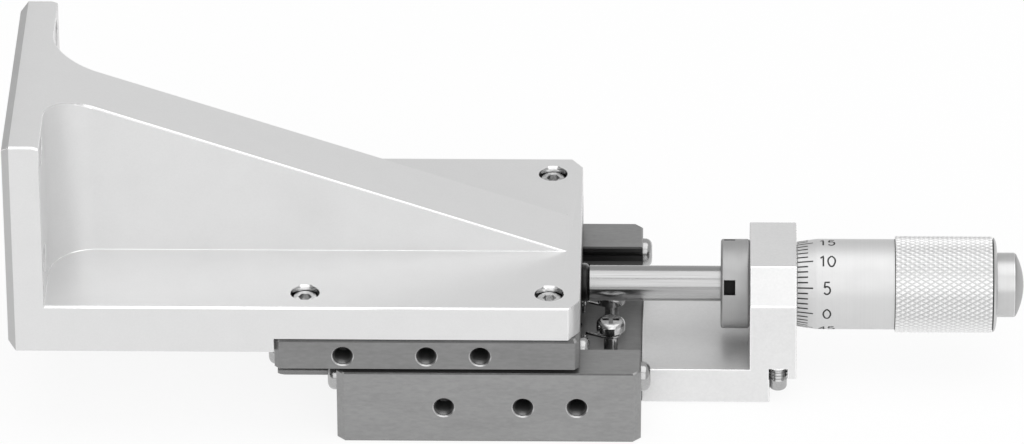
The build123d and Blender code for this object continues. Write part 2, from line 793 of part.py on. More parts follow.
# Grip sleeve: the knurled cup pressed over the thimble's rear
with BuildPart() as grip_sleeve:
    with BuildSketch(drive_plane) as grip_half:
        with BuildLine() as grip_outline:
            Polyline(
                (grip_left, grip_seat_radius),
                (grip_left, grip_radius - edge_break),
                (grip_left + edge_break, grip_radius),
                (grip_right, grip_radius),
                (knob_left, grip_cone_radius),
                (knob_left, lead_radius),
                (thimble_end, lead_radius),
                (thimble_end, grip_seat_radius),
                close=True,
            )
        make_face()
    revolve(axis=drive_axis)
keep(grip_sleeve, "grip_sleeve")

# End cap: a domed screw that holds the thimble on the lead screw
dome_rim = knob_radius - knob_edge
dome_radius = (dome_rim**2 + knob_dome**2) / (2 * knob_dome)
dome_angle = degrees(asin(dome_rim / dome_radius))
with BuildPart() as end_cap:
    with BuildSketch(drive_plane) as end_cap_half:
        with BuildLine() as end_cap_outline:
            Polyline(
                (knob_left - knob_shank_length, 0),
                (knob_left - knob_shank_length, knob_shank_radius),
                (knob_left, knob_shank_radius),
                (knob_left, knob_radius),
                (knob_right - knob_edge, knob_radius),
                (knob_right, dome_rim),
            )
            CenterArc((knob_right + knob_dome - dome_radius, 0), dome_radius, 0, dome_angle)
            Line((knob_right + knob_dome, 0), (knob_left - knob_shank_length, 0))
        make_face()
    revolve(axis=drive_axis)
keep(end_cap, "end_cap")
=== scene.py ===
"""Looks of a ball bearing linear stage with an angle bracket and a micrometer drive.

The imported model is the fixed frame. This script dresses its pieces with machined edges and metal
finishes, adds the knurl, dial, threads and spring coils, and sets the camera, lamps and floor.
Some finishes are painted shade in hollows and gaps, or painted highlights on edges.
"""

import json
import logging
import math
from collections.abc import Callable
from dataclasses import dataclass, field
from enum import Enum

import bmesh
import bpy
from mathutils import Matrix, Vector


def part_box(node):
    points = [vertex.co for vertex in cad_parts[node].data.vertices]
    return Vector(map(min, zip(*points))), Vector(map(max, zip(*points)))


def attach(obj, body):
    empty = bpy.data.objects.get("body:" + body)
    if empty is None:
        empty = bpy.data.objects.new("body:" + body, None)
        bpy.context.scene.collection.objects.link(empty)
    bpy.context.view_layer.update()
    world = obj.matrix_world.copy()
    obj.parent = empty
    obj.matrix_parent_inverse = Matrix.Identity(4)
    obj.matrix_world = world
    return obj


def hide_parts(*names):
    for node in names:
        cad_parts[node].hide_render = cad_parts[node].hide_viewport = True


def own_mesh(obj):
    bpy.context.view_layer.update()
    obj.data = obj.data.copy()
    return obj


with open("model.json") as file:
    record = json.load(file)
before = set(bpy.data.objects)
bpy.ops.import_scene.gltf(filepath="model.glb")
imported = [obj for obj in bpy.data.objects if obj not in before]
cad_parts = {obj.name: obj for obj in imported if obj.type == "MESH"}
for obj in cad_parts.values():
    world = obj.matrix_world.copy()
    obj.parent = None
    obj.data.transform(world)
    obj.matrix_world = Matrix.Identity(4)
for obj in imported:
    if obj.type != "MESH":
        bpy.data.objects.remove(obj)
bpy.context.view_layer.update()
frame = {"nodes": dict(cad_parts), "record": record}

Mesh = bmesh.types.BMesh
Face = bmesh.types.BMFace
Edge = bmesh.types.BMEdge
Piece = bpy.types.Object
Socket = bpy.types.NodeSocket
Place = tuple[float, float]
FaceRule = Callable[[Face], bool]

LOG = logging.getLogger("linear_stage")
MM = 0.001
WELD = 1e-7
CORNER = math.radians(32)
LEVEL = math.radians(0.2)
QUARTER = [math.radians(15 * step) for step in range(7)]

# Share of a face's normal along an axis, where the face looks along it, slants or lies beside it
FACING = 0.9
SLANTED = 0.5
BESIDE = 0.1

# Usual range of a pattern's tone, and how far the roughness strays with it
TONES = (0.3, 0.7)
STRAY = 0.03


class Side(Enum):
    """The front and rear halves of the stage, as the nodes name them."""

    FRONT = "front"
    REAR = "rear"


def middle(node: str) -> Vector:
    """Middle of a CAD node's box at rest."""
    low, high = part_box(node)
    return (low + high) / 2


def radius_of(node: str) -> float:
    """Radius of a round CAD node of the drive, in millimetres."""
    low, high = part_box(node)
    return (high.z - low.z) / 2 / MM


DRIVE_Z = middle("spindle").z


def on_drive(x: float) -> Matrix:
    """Placement of a shape spun about Z on the drive's axis, with its base at x."""
    return Matrix.Translation((x, 0, DRIVE_Z)) @ Matrix.Rotation(math.radians(90), 4, "Y")


def round_drive(x: float, reach: float, turn: float) -> Vector:
    """Point at x and at a reach from the drive's axis, turned from the front towards the top."""
    y, z = -reach * math.cos(turn), reach * math.sin(turn)
    return Vector((x * MM, y * MM, DRIVE_Z + z * MM))


def between(ends: Place, share: float) -> float:
    """Number that lies a share of the way from one end to the other."""
    return ends[0] + (ends[1] - ends[0]) * share


def grey(value: float) -> tuple[float, float, float, float]:
    """Opaque neutral colour of one brightness."""
    return (value, value, value, 1.0)


def slants_forward(face: Face, smallest: float) -> bool:
    """Whether a face slants up or down towards the front, and has an area over the smallest."""
    slanted = abs(face.normal.z) > SLANTED and face.normal.y < -SLANTED
    return slanted and face.calc_area() > smallest


def hang(name: str, data: bpy.types.ID) -> Piece:
    """Put new data in the scene.

    Args:
        name: the object's name.
        data: its mesh, lamp or camera.

    Returns:
        The new object.
    """
    made = bpy.data.objects.new(name, data)
    bpy.context.scene.collection.objects.link(made)
    return made


def thread(outer: float, inner: float, start: float, pitch: float, turns: int) -> list[Place]:
    """Outline of a thread, which goes from its outer to its inner radius in half a pitch."""
    heights = [start + turn * pitch for turn in range(turns)]
    return [point for low in heights for point in ((outer, low), (inner, low + pitch / 2))]


class Graph:
    """Short calls that lay and link nodes in one node tree."""

    def __init__(self, tree: bpy.types.NodeTree) -> None:
        """Keep the tree that the calls work on."""
        self.tree = tree

    @classmethod
    def emptied(cls, owner: bpy.types.Material | bpy.types.World) -> "Graph":
        """Start anew on the nodes of a material or a world.

        Args:
            owner: the material or the world.

        Returns:
            The graph of its empty tree.
        """
        owner.use_nodes = True
        owner.node_tree.nodes.clear()
        return cls(owner.node_tree)

    def add(
        self, kind: str, inputs: dict[str | int, object] | None = None, **settings: object
    ) -> bpy.types.Node:
        """Add one node.

        Args:
            kind: the node's type name.
            inputs: for each input socket, a value to set or an output socket to link.
            settings: the node's own properties.

        Returns:
            The new node.
        """
        node = self.tree.nodes.new(kind)
        for name, value in settings.items():
            setattr(node, name, value)
        for key, value in (inputs or {}).items():
            if isinstance(value, Socket):
                self.tree.links.new(value, node.inputs[key])
            else:
                node.inputs[key].default_value = value
        return node

    def math(self, operation: str, *values: object) -> Socket:
        """Result of one Math node."""
        return self.add("ShaderNodeMath", dict(enumerate(values)), operation=operation).outputs[0]

    def ranged(self, value: Socket, given: Place, wanted: Place) -> Socket:
        """A value moved from a given range to a wanted one, and kept inside it."""
        ends = zip(("From Min", "From Max", "To Min", "To Max"), (*given, *wanted))
        return self.add("ShaderNodeMapRange", {"Value": value, **dict(ends)}).outputs["Result"]

    def blend(self, share: Socket, first: object, second: object) -> Socket:
        """Mix of two colours by a share."""
        colours = {"Factor": share, 6: first, 7: second}
        return self.add("ShaderNodeMix", colours, data_type="RGBA").outputs[2]

    def noise(
        self, place: Socket, scale: object, detail: float = 2.0, rough: float = 0.55
    ) -> Socket:
        """Plain noise of one scale."""
        inputs = {"Vector": place, "Scale": scale, "Detail": detail, "Roughness": rough}
        return self.add("ShaderNodeTexNoise", inputs).outputs["Fac"]

    def off_axis(self, place: Socket) -> tuple[Socket, Socket]:
        """How far a place lies along the X axis and off it.

        Args:
            place: the place's coordinates.

        Returns:
            The length along the axis and the distance from it.
        """
        parts = self.add("ShaderNodeSeparateXYZ", {0: place}).outputs
        squares = [self.math("MULTIPLY", parts[side], parts[side]) for side in ("Y", "Z")]
        return parts["X"], self.math("SQRT", self.math("ADD", *squares))


@dataclass(frozen=True)
class Pattern:
    """A shader node group for marks that machining leaves, over a slow mottle.

    Attributes:
        name: the group's name.
        marks: marks per metre, where a finish doesn't say.
        mottle: patches per metre.
        detail: layers of noise in the marks.
        turned: whether the marks are rings about the X axis.
        mottle_share: the mottle's part in the tone.
    """

    name: str
    marks: float
    mottle: float
    detail: float
    turned: bool = False
    mottle_share: float = 0.4

    def tree(self) -> bpy.types.NodeTree:
        """The group, which is built when it is first asked for.

        Returns:
            Its tree, which takes a place and sizes, and gives a tone and a height.
        """
        known = bpy.data.node_groups.get(self.name)
        if known:
            return known
        tree = bpy.data.node_groups.new(self.name, "ShaderNodeTree")
        tree.interface.new_socket("Vector", in_out="INPUT", socket_type="NodeSocketVector")
        sizes = {"Marks": self.marks, "Mottle": self.mottle, "Mottle Share": self.mottle_share}
        for label, value in sizes.items():
            size = tree.interface.new_socket(label, in_out="INPUT", socket_type="NodeSocketFloat")
            size.default_value = value
        for label in ("Tone", "Height"):
            tree.interface.new_socket(label, in_out="OUTPUT", socket_type="NodeSocketFloat")
        graph = Graph(tree)
        given = graph.add("NodeGroupInput").outputs
        place, share = given["Vector"], given["Mottle Share"]
        slow = graph.math("MULTIPLY", graph.noise(place, given["Mottle"]), share)
        if self.turned:
            along, radius = graph.off_axis(place)
            place = graph.add("ShaderNodeCombineXYZ", {"X": along, "Y": radius}).outputs[0]
        marks = graph.noise(place, given["Marks"], self.detail)
        fine = graph.math("MULTIPLY", marks, graph.math("SUBTRACT", 1.0, share))
        graph.add("NodeGroupOutput", {"Tone": graph.math("ADD", fine, slow), "Height": marks})
        return tree


GRAIN = Pattern("fine_grain", 2500.0, 150.0, 3.0)
RINGS = Pattern("turned_rings", 6000.0, 260.0, 2.0, turned=True)


@dataclass(frozen=True)
class Finish:
    """A metal surface with a fine grain.

    Attributes:
        name: the material's name.
        shade: linear brightness.
        metallic: share of metal reflection.
        roughness: mean roughness.
        contrast: how far the tone strays from the shade, as a share of it.
        relief: height of the marks, in metres.
        stretch: how much the marks shrink along X, Y and Z.
        grain: marks per metre.
        pattern: the kind of marks.
    """

    name: str
    shade: float
    metallic: float
    roughness: float
    contrast: float
    relief: float
    stretch: tuple[float, float, float] = (1.0, 1.0, 1.0)
    grain: float = GRAIN.marks
    pattern: Pattern = GRAIN

    def place(self, graph: Graph) -> Socket:
        """Object coordinates, centred on the drive's axis and stretched.

        Args:
            graph: the material's graph.

        Returns:
            The coordinates.
        """
        inputs = {
            "Vector": graph.add("ShaderNodeTexCoord").outputs["Object"],
            "Location": (0.0, 0.0, -DRIVE_Z * self.stretch[2]),
            "Scale": self.stretch,
        }
        return graph.add("ShaderNodeMapping", inputs).outputs["Vector"]

    def colour(self, graph: Graph, tone: Socket) -> Socket:
        """Base colour, which follows the tone."""
        dark, light = (grey(self.shade * (1 + way * self.contrast)) for way in (-1, 1))
        return graph.blend(graph.ranged(tone, TONES, (0.0, 1.0)), dark, light)

    def material(self) -> bpy.types.Material:
        """The material, which is made when it is first asked for.

        Returns:
            The material.
        """
        known = bpy.data.materials.get(self.name)
        if known:
            return known
        made = bpy.data.materials.new(self.name)
        graph = Graph.emptied(made)
        inputs = {"Vector": self.place(graph), "Marks": self.grain}
        marks = graph.add("ShaderNodeGroup", inputs, node_tree=self.pattern.tree()).outputs
        relief = {"Strength": 1.0, "Distance": self.relief, "Height": marks["Height"]}
        rough = (self.roughness + STRAY, self.roughness - STRAY)
        surface = {
            "Base Color": self.colour(graph, marks["Tone"]),
            "Metallic": self.metallic,
            "Roughness": graph.ranged(marks["Tone"], TONES, rough),
            "Normal": graph.add("ShaderNodeBump", relief).outputs["Normal"],
        }
        shader = graph.add("ShaderNodeBsdfPrincipled", surface)
        graph.add("ShaderNodeOutputMaterial", {"Surface": shader.outputs["BSDF"]})
        return made


@dataclass(frozen=True)
class TurnedFinish(Finish):
    """A surface that was turned on a lathe about the drive's axis."""

    grain: float = RINGS.marks
    pattern: Pattern = RINGS


@dataclass(frozen=True)
class KnurledFinish(TurnedFinish):
    """A knurled surface, with painted shade in its grooves.

    Attributes:
        groove: radius of the groove's bottom, in metres.
        crest: radius of the diamonds' tops.
        dirt: share of the brightness that the grooves keep, as painted shade.
    """

    groove: float = 0.01016
    crest: float = 0.01034
    # Painted shade: the grooves keep only this share of the brightness.
    dirt: float = 0.75

    def colour(self, graph: Graph, tone: Socket) -> Socket:
        """Base colour, with painted shade darker towards the grooves.

        Args:
            graph: the material's graph.
            tone: the tone of the rings.

        Returns:
            The colour.
        """
        _, radius = graph.off_axis(self.place(graph))
        height = graph.ranged(radius, (self.groove, self.crest), (0.0, 1.0))
        return graph.blend(height, grey(self.shade * self.dirt), super().colour(graph, tone))


class Metal:
    """The finishes of this stage, among them painted shade and painted highlights."""

    BRACKET = Finish("anodised_bracket", 0.785, 0.6, 0.4, 0.02, 1.2e-6)
    ARM = Finish("anodised_arm", 0.815, 0.6, 0.34, 0.04, 2e-6, grain=1600.0)
    # Painted shade: the block's front bevel is a darker copy of the arm's finish, to tone down its
    # reflection.
    ARM_BEVEL = Finish("arm_bevel", 0.74, 0.6, 0.34, 0.04, 2e-6, grain=1600.0)
    # Painted highlight: the bevelled edges are paler and glossier than the anodised faces, to draw
    # bright edge lines.
    RIM = Finish("painted_highlight_edges", 0.92, 0.9, 0.22, 0.02, 3e-7)
    # Painted shade: the plate's outer chamfer is darker than the bracket, for the darker
    # reflection there.
    CHAMFER = Finish("painted_shade_chamfer", 0.5, 0.9, 0.3, 0.03, 1e-6)
    BASE = Finish("ground_base", 0.32, 0.8, 0.38, 0.1, 2e-6, (0.35, 1.0, 1.0), 1800.0)
    CARRIAGE = Finish("ground_carriage", 0.255, 0.8, 0.38, 0.1, 2e-6, (0.35, 1.0, 1.0), 1800.0)
    # Painted shade: near black on the channel walls, under the carriage over the gap, and in the
    # grip's grooves.
    WAY = Finish("painted_shade_streaks", 0.06, 0.9, 0.4, 0.05, 1e-6, (0.05, 1.0, 1.0))
    # Painted shade: the chamfers along the front's top and bottom edges, shaded under the
    # bracket's overhang.
    BROKEN = Finish("painted_shade_front_edges", 0.12, 0.9, 0.4, 0.2, 1e-6)
    # Painted highlight: the cones at the side holes' mouths are paler than the body, for the
    # bright rims there.
    MOUTH = Finish("painted_highlight_mouths", 0.55, 1.0, 0.32, 0.05, 5e-7)
    SCREW = Finish("bright_screws", 0.44, 0.97, 0.2, 0.1, 2e-6)
    BOLT = Finish("socket_screws", 0.7, 1.0, 0.2, 0.4, 1e-5, grain=1100.0)
    SEAT = Finish("polished_seats", 0.75, 1.0, 0.12, 0.2, 2e-6)
    POST = Finish("polished_posts", 0.5, 0.97, 0.15, 0.4, 1e-5, grain=900.0)
    # Painted shade: the post heads' cross recesses are darker than the heads.
    RECESS = Finish("painted_shade_cross_recess", 0.28, 0.9, 0.24, 0.5, 1.5e-5, grain=900.0)
    # Painted shade: the thrust pad is near black, for the shade where the spindle meets the
    # carriage.
    PAD = Finish("painted_shade_pad", 0.03, 0.9, 0.35, 0.1, 1e-6)
    # Painted shade: the nut's spanner slots are near black inside.
    SLOT = Finish("painted_shade_nut_slots", 0.02, 1.0, 0.5, 0.1, 1e-6)
    WIRE = Finish("spring_wire", 0.42, 1.0, 0.2, 0.05, 5e-7)
    BALL = Finish("bearing_balls", 0.6, 1.0, 0.08, 0.02, 1e-7)
    CAGE = Finish("brass_cage", 0.45, 1.0, 0.35, 0.05, 1e-6, (0.2, 1.0, 1.0))
    SPINDLE = Finish("ground_spindle", 0.4, 1.0, 0.2, 0.12, 1e-6, (0.02, 1.0, 1.0), 3000.0)
    NUT = TurnedFinish("turned_nut", 0.42, 0.75, 0.5, 0.06, 1.5e-6)
    BARREL = TurnedFinish("satin_barrel", 0.6, 0.8, 0.35, 0.03, 1e-6)
    THIMBLE = TurnedFinish("satin_thimble", 0.69, 0.6, 0.48, 0.02, 1e-6)
    # Painted shade darkens the knurl's grooves.
    GRIP = KnurledFinish("knurled_grip", 0.92, 0.75, 0.32, 0.03, 5e-7)
    GRIP_CONE = TurnedFinish("turned_cone", 0.6, 0.8, 0.4, 0.04, 1e-6)
    KNOB = TurnedFinish("turned_knob", 0.58, 0.8, 0.36, 0.05, 1.5e-6)
    # Painted shade: the end cap's dome is darker than its side.
    DOME = TurnedFinish("painted_shade_dome", 0.4, 0.85, 0.4, 0.03, 1e-6)
    INK = Finish("engraved_ink", 0.02, 0.0, 0.6, 0.2, 1e-7)
    # Painted shade: the threads in the tapped holes are darker than the steel round them.
    THREAD = Finish("painted_shade_threads", 0.16, 0.9, 0.3, 0.05, 1e-6)


class Shop:
    """Ways to make pieces and put them on the stage."""

    @staticmethod
    def add(
        name: str, work: Mesh, body: str, slot: str, *metals: Finish, node: str = "",
        corner: float = 35.0, flat: bool = True,
    ) -> Piece:
        """Make a bmesh a piece that rides on a body, and log it.

        Args:
            name: the piece's name.
            work: its bmesh, which is freed.
            body: the body it rides on.
            slot: its slot, which is not used.
            metals: its finishes, by the material numbers of its faces.
            node: the CAD node it stands for, if any.
            corner: angle in degrees from which an edge stays sharp.
            flat: whether its large faces hold their own normals.

        Returns:
            The piece.
        """
        for face in work.faces:
            face.smooth = True
        for edge in work.edges:
            edge.smooth = edge.calc_face_angle(0.0) < math.radians(corner)
        mesh = bpy.data.meshes.new(name)
        work.to_mesh(mesh)
        work.free()
        for metal in metals:
            mesh.materials.append(metal.material())
        piece = hang(name, mesh)
        if flat:
            steady = piece.modifiers.new("steady_normals", "WEIGHTED_NORMAL")
            steady.keep_sharp = True
            steady.weight = 100
        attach(piece, body)
        if node:
            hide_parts(node)
        LOG.info("%s: %d faces on %s", name, len(mesh.polygons), body)
        return piece

    @staticmethod
    def paint(node: str, finish: Finish) -> None:
        """Give a CAD node that keeps its own shape its metal."""
        for slot in frame["nodes"][node].material_slots:
            slot.material = finish.material()

    @staticmethod
    def copy_of(node: str) -> Mesh:
        """Copy a CAD node, with its points merged and each flat face in one.

        Args:
            node: the CAD node.

        Returns:
            The copy.
        """
        work = bmesh.new()
        work.from_mesh(frame["nodes"][node].data)
        bmesh.ops.remove_doubles(work, verts=work.verts, dist=WELD)
        bmesh.ops.dissolve_limit(work, angle_limit=LEVEL, verts=work.verts, edges=work.edges)
        return work

    @staticmethod
    def break_edges(
        work: Mesh, width: float, rule: Callable[[Edge], bool], corner: float = CORNER,
        segments: int = 1,
    ) -> None:
        """Bevel the corners that a rule picks, with their new faces in the second metal.

        Args:
            work: the piece.
            width: how far the bevel reaches from the corner, in millimetres.
            rule: picks the edges.
            corner: angle from which an edge counts as a corner.
            segments: 1 for a flat chamfer.
        """
        sharp = [edge for edge in work.edges if edge.calc_face_angle(0.0) > corner and rule(edge)]
        made = bmesh.ops.bevel(
            work, geom=sharp, offset=width * MM, offset_type="OFFSET", affect="EDGES",
            segments=segments, profile=0.5, material=-1, loop_slide=segments > 1,
            clamp_overlap=False,
        )
        for face in made["faces"]:
            face.material_index = 1
        work.normal_update()

    @classmethod
    def dress(
        cls, node: str, body: str, slot: str, finish: Finish, edge: float = 0.0,
        rim: Finish | None = None, others: dict[Finish, FaceRule] | None = None,
        flat: bool = True, work: Mesh | None = None,
    ) -> None:
        """Put a dressed copy of a CAD node in the node's place.

        Args:
            node: the CAD node.
            body: the body it rides on.
            slot: its slot.
            finish: its main finish.
            edge: how far its convex corners are broken, in millimetres.
            rim: finish of the broken edges, if it differs, such as a painted highlight.
            others: further finishes, each with the rule that picks its faces.
            flat: whether its large faces hold their own normals.
            work: the copy, if its edges are already broken.
        """
        if work is None:
            work = cls.copy_of(node)
        if edge:
            cls.break_edges(work, edge, lambda corner: corner.is_convex, segments=2)
        others = others or {}
        for number, rule in enumerate(others.values(), start=2):
            for face in work.faces:
                if rule(face):
                    face.material_index = number
        metals = (finish, rim or finish, *others)
        cls.add(f"{node}_dressed", work, body, slot, *metals, node=node, flat=flat)

    @staticmethod
    def spun(outline: list[Place], place: Matrix, steps: int, closed: bool = False) -> Mesh:
        """Spin an outline about Z, then place it.

        Args:
            outline: points of radius and height, in millimetres.
            place: where the spun shape goes.
            steps: facets round the turn.
            closed: whether the outline's ends join.

        Returns:
            The spun shape as a bmesh.
        """
        work = bmesh.new()
        points = [work.verts.new((radius * MM, 0.0, height * MM)) for radius, height in outline]
        pairs = list(zip(points, points[1:])) + ([(points[-1], points[0])] if closed else [])
        lines = [work.edges.new(pair) for pair in pairs]
        bmesh.ops.spin(
            work, geom=points + lines, cent=(0, 0, 0), axis=(0, 0, 1), angle=math.tau,
            steps=steps, use_merge=True,
        )
        bmesh.ops.remove_doubles(work, verts=work.verts, dist=WELD)
        bmesh.ops.recalc_face_normals(work, faces=work.faces)
        bmesh.ops.transform(work, matrix=place, verts=work.verts)
        return work

    @staticmethod
    def wire(radius: float) -> bpy.types.Curve:
        """Begin a curve that is round wire.

        Args:
            radius: the wire's radius.

        Returns:
            The curve, with no line yet.
        """
        curve = bpy.data.curves.new("wire", "CURVE")
        curve.dimensions = "3D"
        curve.bevel_depth = radius
        curve.bevel_resolution = 1
        curve.use_fill_caps = True
        return curve

    @staticmethod
    def add_curve(work: Mesh, curve: bpy.types.Curve) -> list[bmesh.types.BMVert]:
        """Turn a curve into faces of a bmesh.

        Args:
            work: the bmesh.
            curve: the curve, which is removed.

        Returns:
            The new points.
        """
        shaper = bpy.data.objects.new("shaper", curve)
        mesh = bpy.data.meshes.new_from_object(shaper)
        known = set(work.verts)
        work.from_mesh(mesh)
        bpy.data.objects.remove(shaper)
        bpy.data.meshes.remove(mesh)
        bpy.data.curves.remove(curve)
        return [vert for vert in work.verts if vert not in known]


@dataclass
class Platform:
    """The base and the carriage, their ways, balls, stop screws and side holes."""

    edge: float = 0.09
    plate_bottom: float = 18.0
    channel_half: float = 25.0
    chamfer_reach: float = 2.0
    chamfer_area: float = 1e-6
    mouth_depth: float = 0.5
    mouth_reach: float = 2.6
    thread_pitch: float = 0.8
    thread_root: float = 0.02
    thread_depth: float = 0.3
    thread_start: float = 0.45
    thread_steps: int = 40
    end_screws: int = 4
    balls: int = 8

    def __post_init__(self) -> None:
        """Find the front side and its tapped holes."""
        self.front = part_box("base_body")[0].y
        mounts = frame["record"]["mounts"]
        self.tapped = [mount for mount in mounts if mount["kind"] == "threaded_hole"]
        self.holes = [Vector(mount["pos_m"]) for mount in self.tapped]

    def build(self) -> None:
        """Dress the bodies, screws and balls, and cut the threads."""
        for owner, finish, dark in (
            ("base", Metal.BASE, self.in_channel),
            ("carriage", Metal.CARRIAGE, self.on_underside),
        ):
            # Painted shade on the channel walls, under the carriage and on the front chamfers; a
            # painted highlight on the hole mouths.
            rules = {Metal.WAY: dark, Metal.BROKEN: self.on_front_edge, Metal.MOUTH: self.in_mouth}
            slot = f"{owner}_steel"
            Shop.dress(f"{owner}_body", owner, slot, finish, self.edge, others=rules)
        for owner in ("base", "carriage"):
            for number in range(1, self.end_screws + 1):
                node = f"{owner}_end_screw_{number}"
                Shop.dress(node, owner, "screw_steel", Metal.SCREW, flat=False)
        for side in Side:
            Shop.paint(f"ball_cage_{side.value}", Metal.CAGE)
            for number in range(1, self.balls + 1):
                node = f"ball_{side.value}_{number}"
                Shop.dress(node, f"cage_{side.value}", "ball_steel", Metal.BALL)
        for mount in self.tapped:
            self.tap(mount)

    def on_underside(self, face: Face) -> bool:
        """Whether a face of the carriage lies against the gap over the base; such faces get
        painted shade.
        """
        gap = abs(face.calc_center_median().z - self.plate_bottom * MM) < self.edge * MM / 2
        return face.normal.z < -FACING and gap

    def in_channel(self, face: Face) -> bool:
        """Whether a face of the base is one of the channel's walls, which get painted shade."""
        inside = abs(face.calc_center_median().y) < self.channel_half * MM
        return inside and max(abs(face.normal.x), abs(face.normal.z)) < FACING

    def on_front_edge(self, face: Face) -> bool:
        """Whether a face is a chamfer along the top or the bottom of a body's front side, given
        painted shade.
        """
        near = face.calc_center_median().y < self.front + self.chamfer_reach * MM
        return near and slants_forward(face, self.chamfer_area)

    def in_mouth(self, face: Face) -> bool:
        """Whether a face belongs to the small cone at the mouth of a side hole, given a painted
        highlight.

        Args:
            face: the face.

        Returns:
            True if it does.
        """
        centre, reach = face.calc_center_median(), self.mouth_reach * MM
        if centre.y > self.front + self.mouth_depth * MM or face.normal.y < -FACING:
            return False
        return any((centre - hole).xz.length < reach for hole in self.holes)

    def tap(self, mount: dict) -> None:
        """Line a tapped hole of the front side with its thread, in painted shade darker than the
        body.

        Args:
            mount: the hole's entry in the record.
        """
        radius, length = mount["dims"]["r_mm"], mount["dims"]["length_mm"]
        start, pitch = self.thread_start, self.thread_pitch
        outer, inner = radius + self.thread_root, radius - self.thread_depth
        outline = thread(outer, inner, start, pitch, int((length - start) / pitch))
        x, _, z = mount["pos_m"]
        inwards = Matrix.Translation((x, self.front, z)) @ Matrix.Rotation(-math.pi / 2, 4, "X")
        owner = mount["name"].split("_")[0]
        work = Shop.spun(outline, inwards, self.thread_steps)
        Shop.add(f"{mount['name']}_thread", work, owner, f"{owner}_steel", Metal.THREAD)


@dataclass
class AngleBracket:
    """The angle bracket and the four screws that hold it."""

    front_edge: float = 0.42
    foot: float = 0.1
    edge: float = 0.12
    square: float = math.radians(50)
    strip: float = 1.0
    upward: float = 0.3
    seat_reach: float = 3.3
    chamfer_area: float = 1e-5
    screw_edge: float = 0.12
    bolts: int = 4
    screws: list[Vector] = field(default_factory=list)

    def build(self) -> None:
        """Dress the bracket and its screws."""
        nodes = [f"bracket_screw_{number}" for number in range(1, self.bolts + 1)]
        self.screws = [middle(node) for node in nodes]
        work = Shop.copy_of("angle_bracket")
        self.clear_front(work)
        # The bevels' new faces take the second metal, a painted highlight.
        Shop.break_edges(work, self.foot, lambda corner: not corner.is_convex, self.square)
        Shop.break_edges(work, self.front_edge, self.at_front_top, self.square)
        Shop.break_edges(work, self.edge, lambda corner: corner.is_convex, self.square)
        Shop.dress(
            "angle_bracket", "carriage", "bracket_aluminium", Metal.BRACKET, rim=Metal.RIM,
            others={Metal.CHAMFER: self.on_outer_chamfer, Metal.SEAT: self.in_seat}, work=work,
        )
        for node in nodes:
            Shop.dress(node, "carriage", "bolt_steel", Metal.BOLT, self.screw_edge)

    def clear_front(self, work: Mesh) -> None:
        """Leave one clear strip along the front edges, so that their chamfer runs true.

        Args:
            work: the bracket.
        """
        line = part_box("angle_bracket")[0].y + self.strip * MM
        bmesh.ops.bisect_plane(
            work, geom=work.verts[:] + work.edges[:] + work.faces[:], plane_co=(0, line, 0),
            plane_no=(0, 1, 0), dist=WELD,
        )
        work.normal_update()
        near = 2 * WELD
        stray = [
            edge for edge in work.edges
            if edge.calc_face_angle(math.pi) < LEVEL
            and all(vert.co.y < line + near for vert in edge.verts)
            and not all(abs(vert.co.y - line) < near for vert in edge.verts)
        ]
        bmesh.ops.dissolve_edges(work, edges=stray, use_verts=True)
        work.normal_update()

    def at_front_top(self, corner: Edge) -> bool:
        """Whether an edge lies between a face that looks up and one that looks forward.

        Args:
            corner: the edge.

        Returns:
            True if it does.
        """
        normals = [face.normal for face in corner.link_faces]
        up = any(normal.z > self.upward and abs(normal.y) < BESIDE for normal in normals)
        return corner.is_convex and up and any(normal.y < -FACING for normal in normals)

    def in_seat(self, face: Face) -> bool:
        """Whether a face belongs to the wall of a screw's seat in the floor.

        Args:
            face: the face.

        Returns:
            True if it does.
        """
        place, reach = face.calc_center_median(), self.seat_reach * MM
        near = any((place - screw).xy.length < reach for screw in self.screws)
        return near and abs(face.normal.z) < BESIDE

    def on_outer_chamfer(self, face: Face) -> bool:
        """Whether a face is a chamfer of the plate's outer rim, given painted shade."""
        return SLANTED < -face.normal.x < FACING and face.calc_area() > self.chamfer_area


@dataclass
class PostRecess:
    """The cross recess in a spring post's head."""

    axis: Vector
    top: float
    reach: float = 1.9
    depths: Place = (0.12, 1.4)

    def holds(self, face: Face) -> bool:
        """Whether a face lies in the recess.

        Args:
            face: the face.

        Returns:
            True if it does.
        """
        place = face.calc_center_median()
        depth, (near, far) = (self.top - place.z) / MM, self.depths
        return (place - self.axis).xy.length < self.reach * MM and near < depth < far


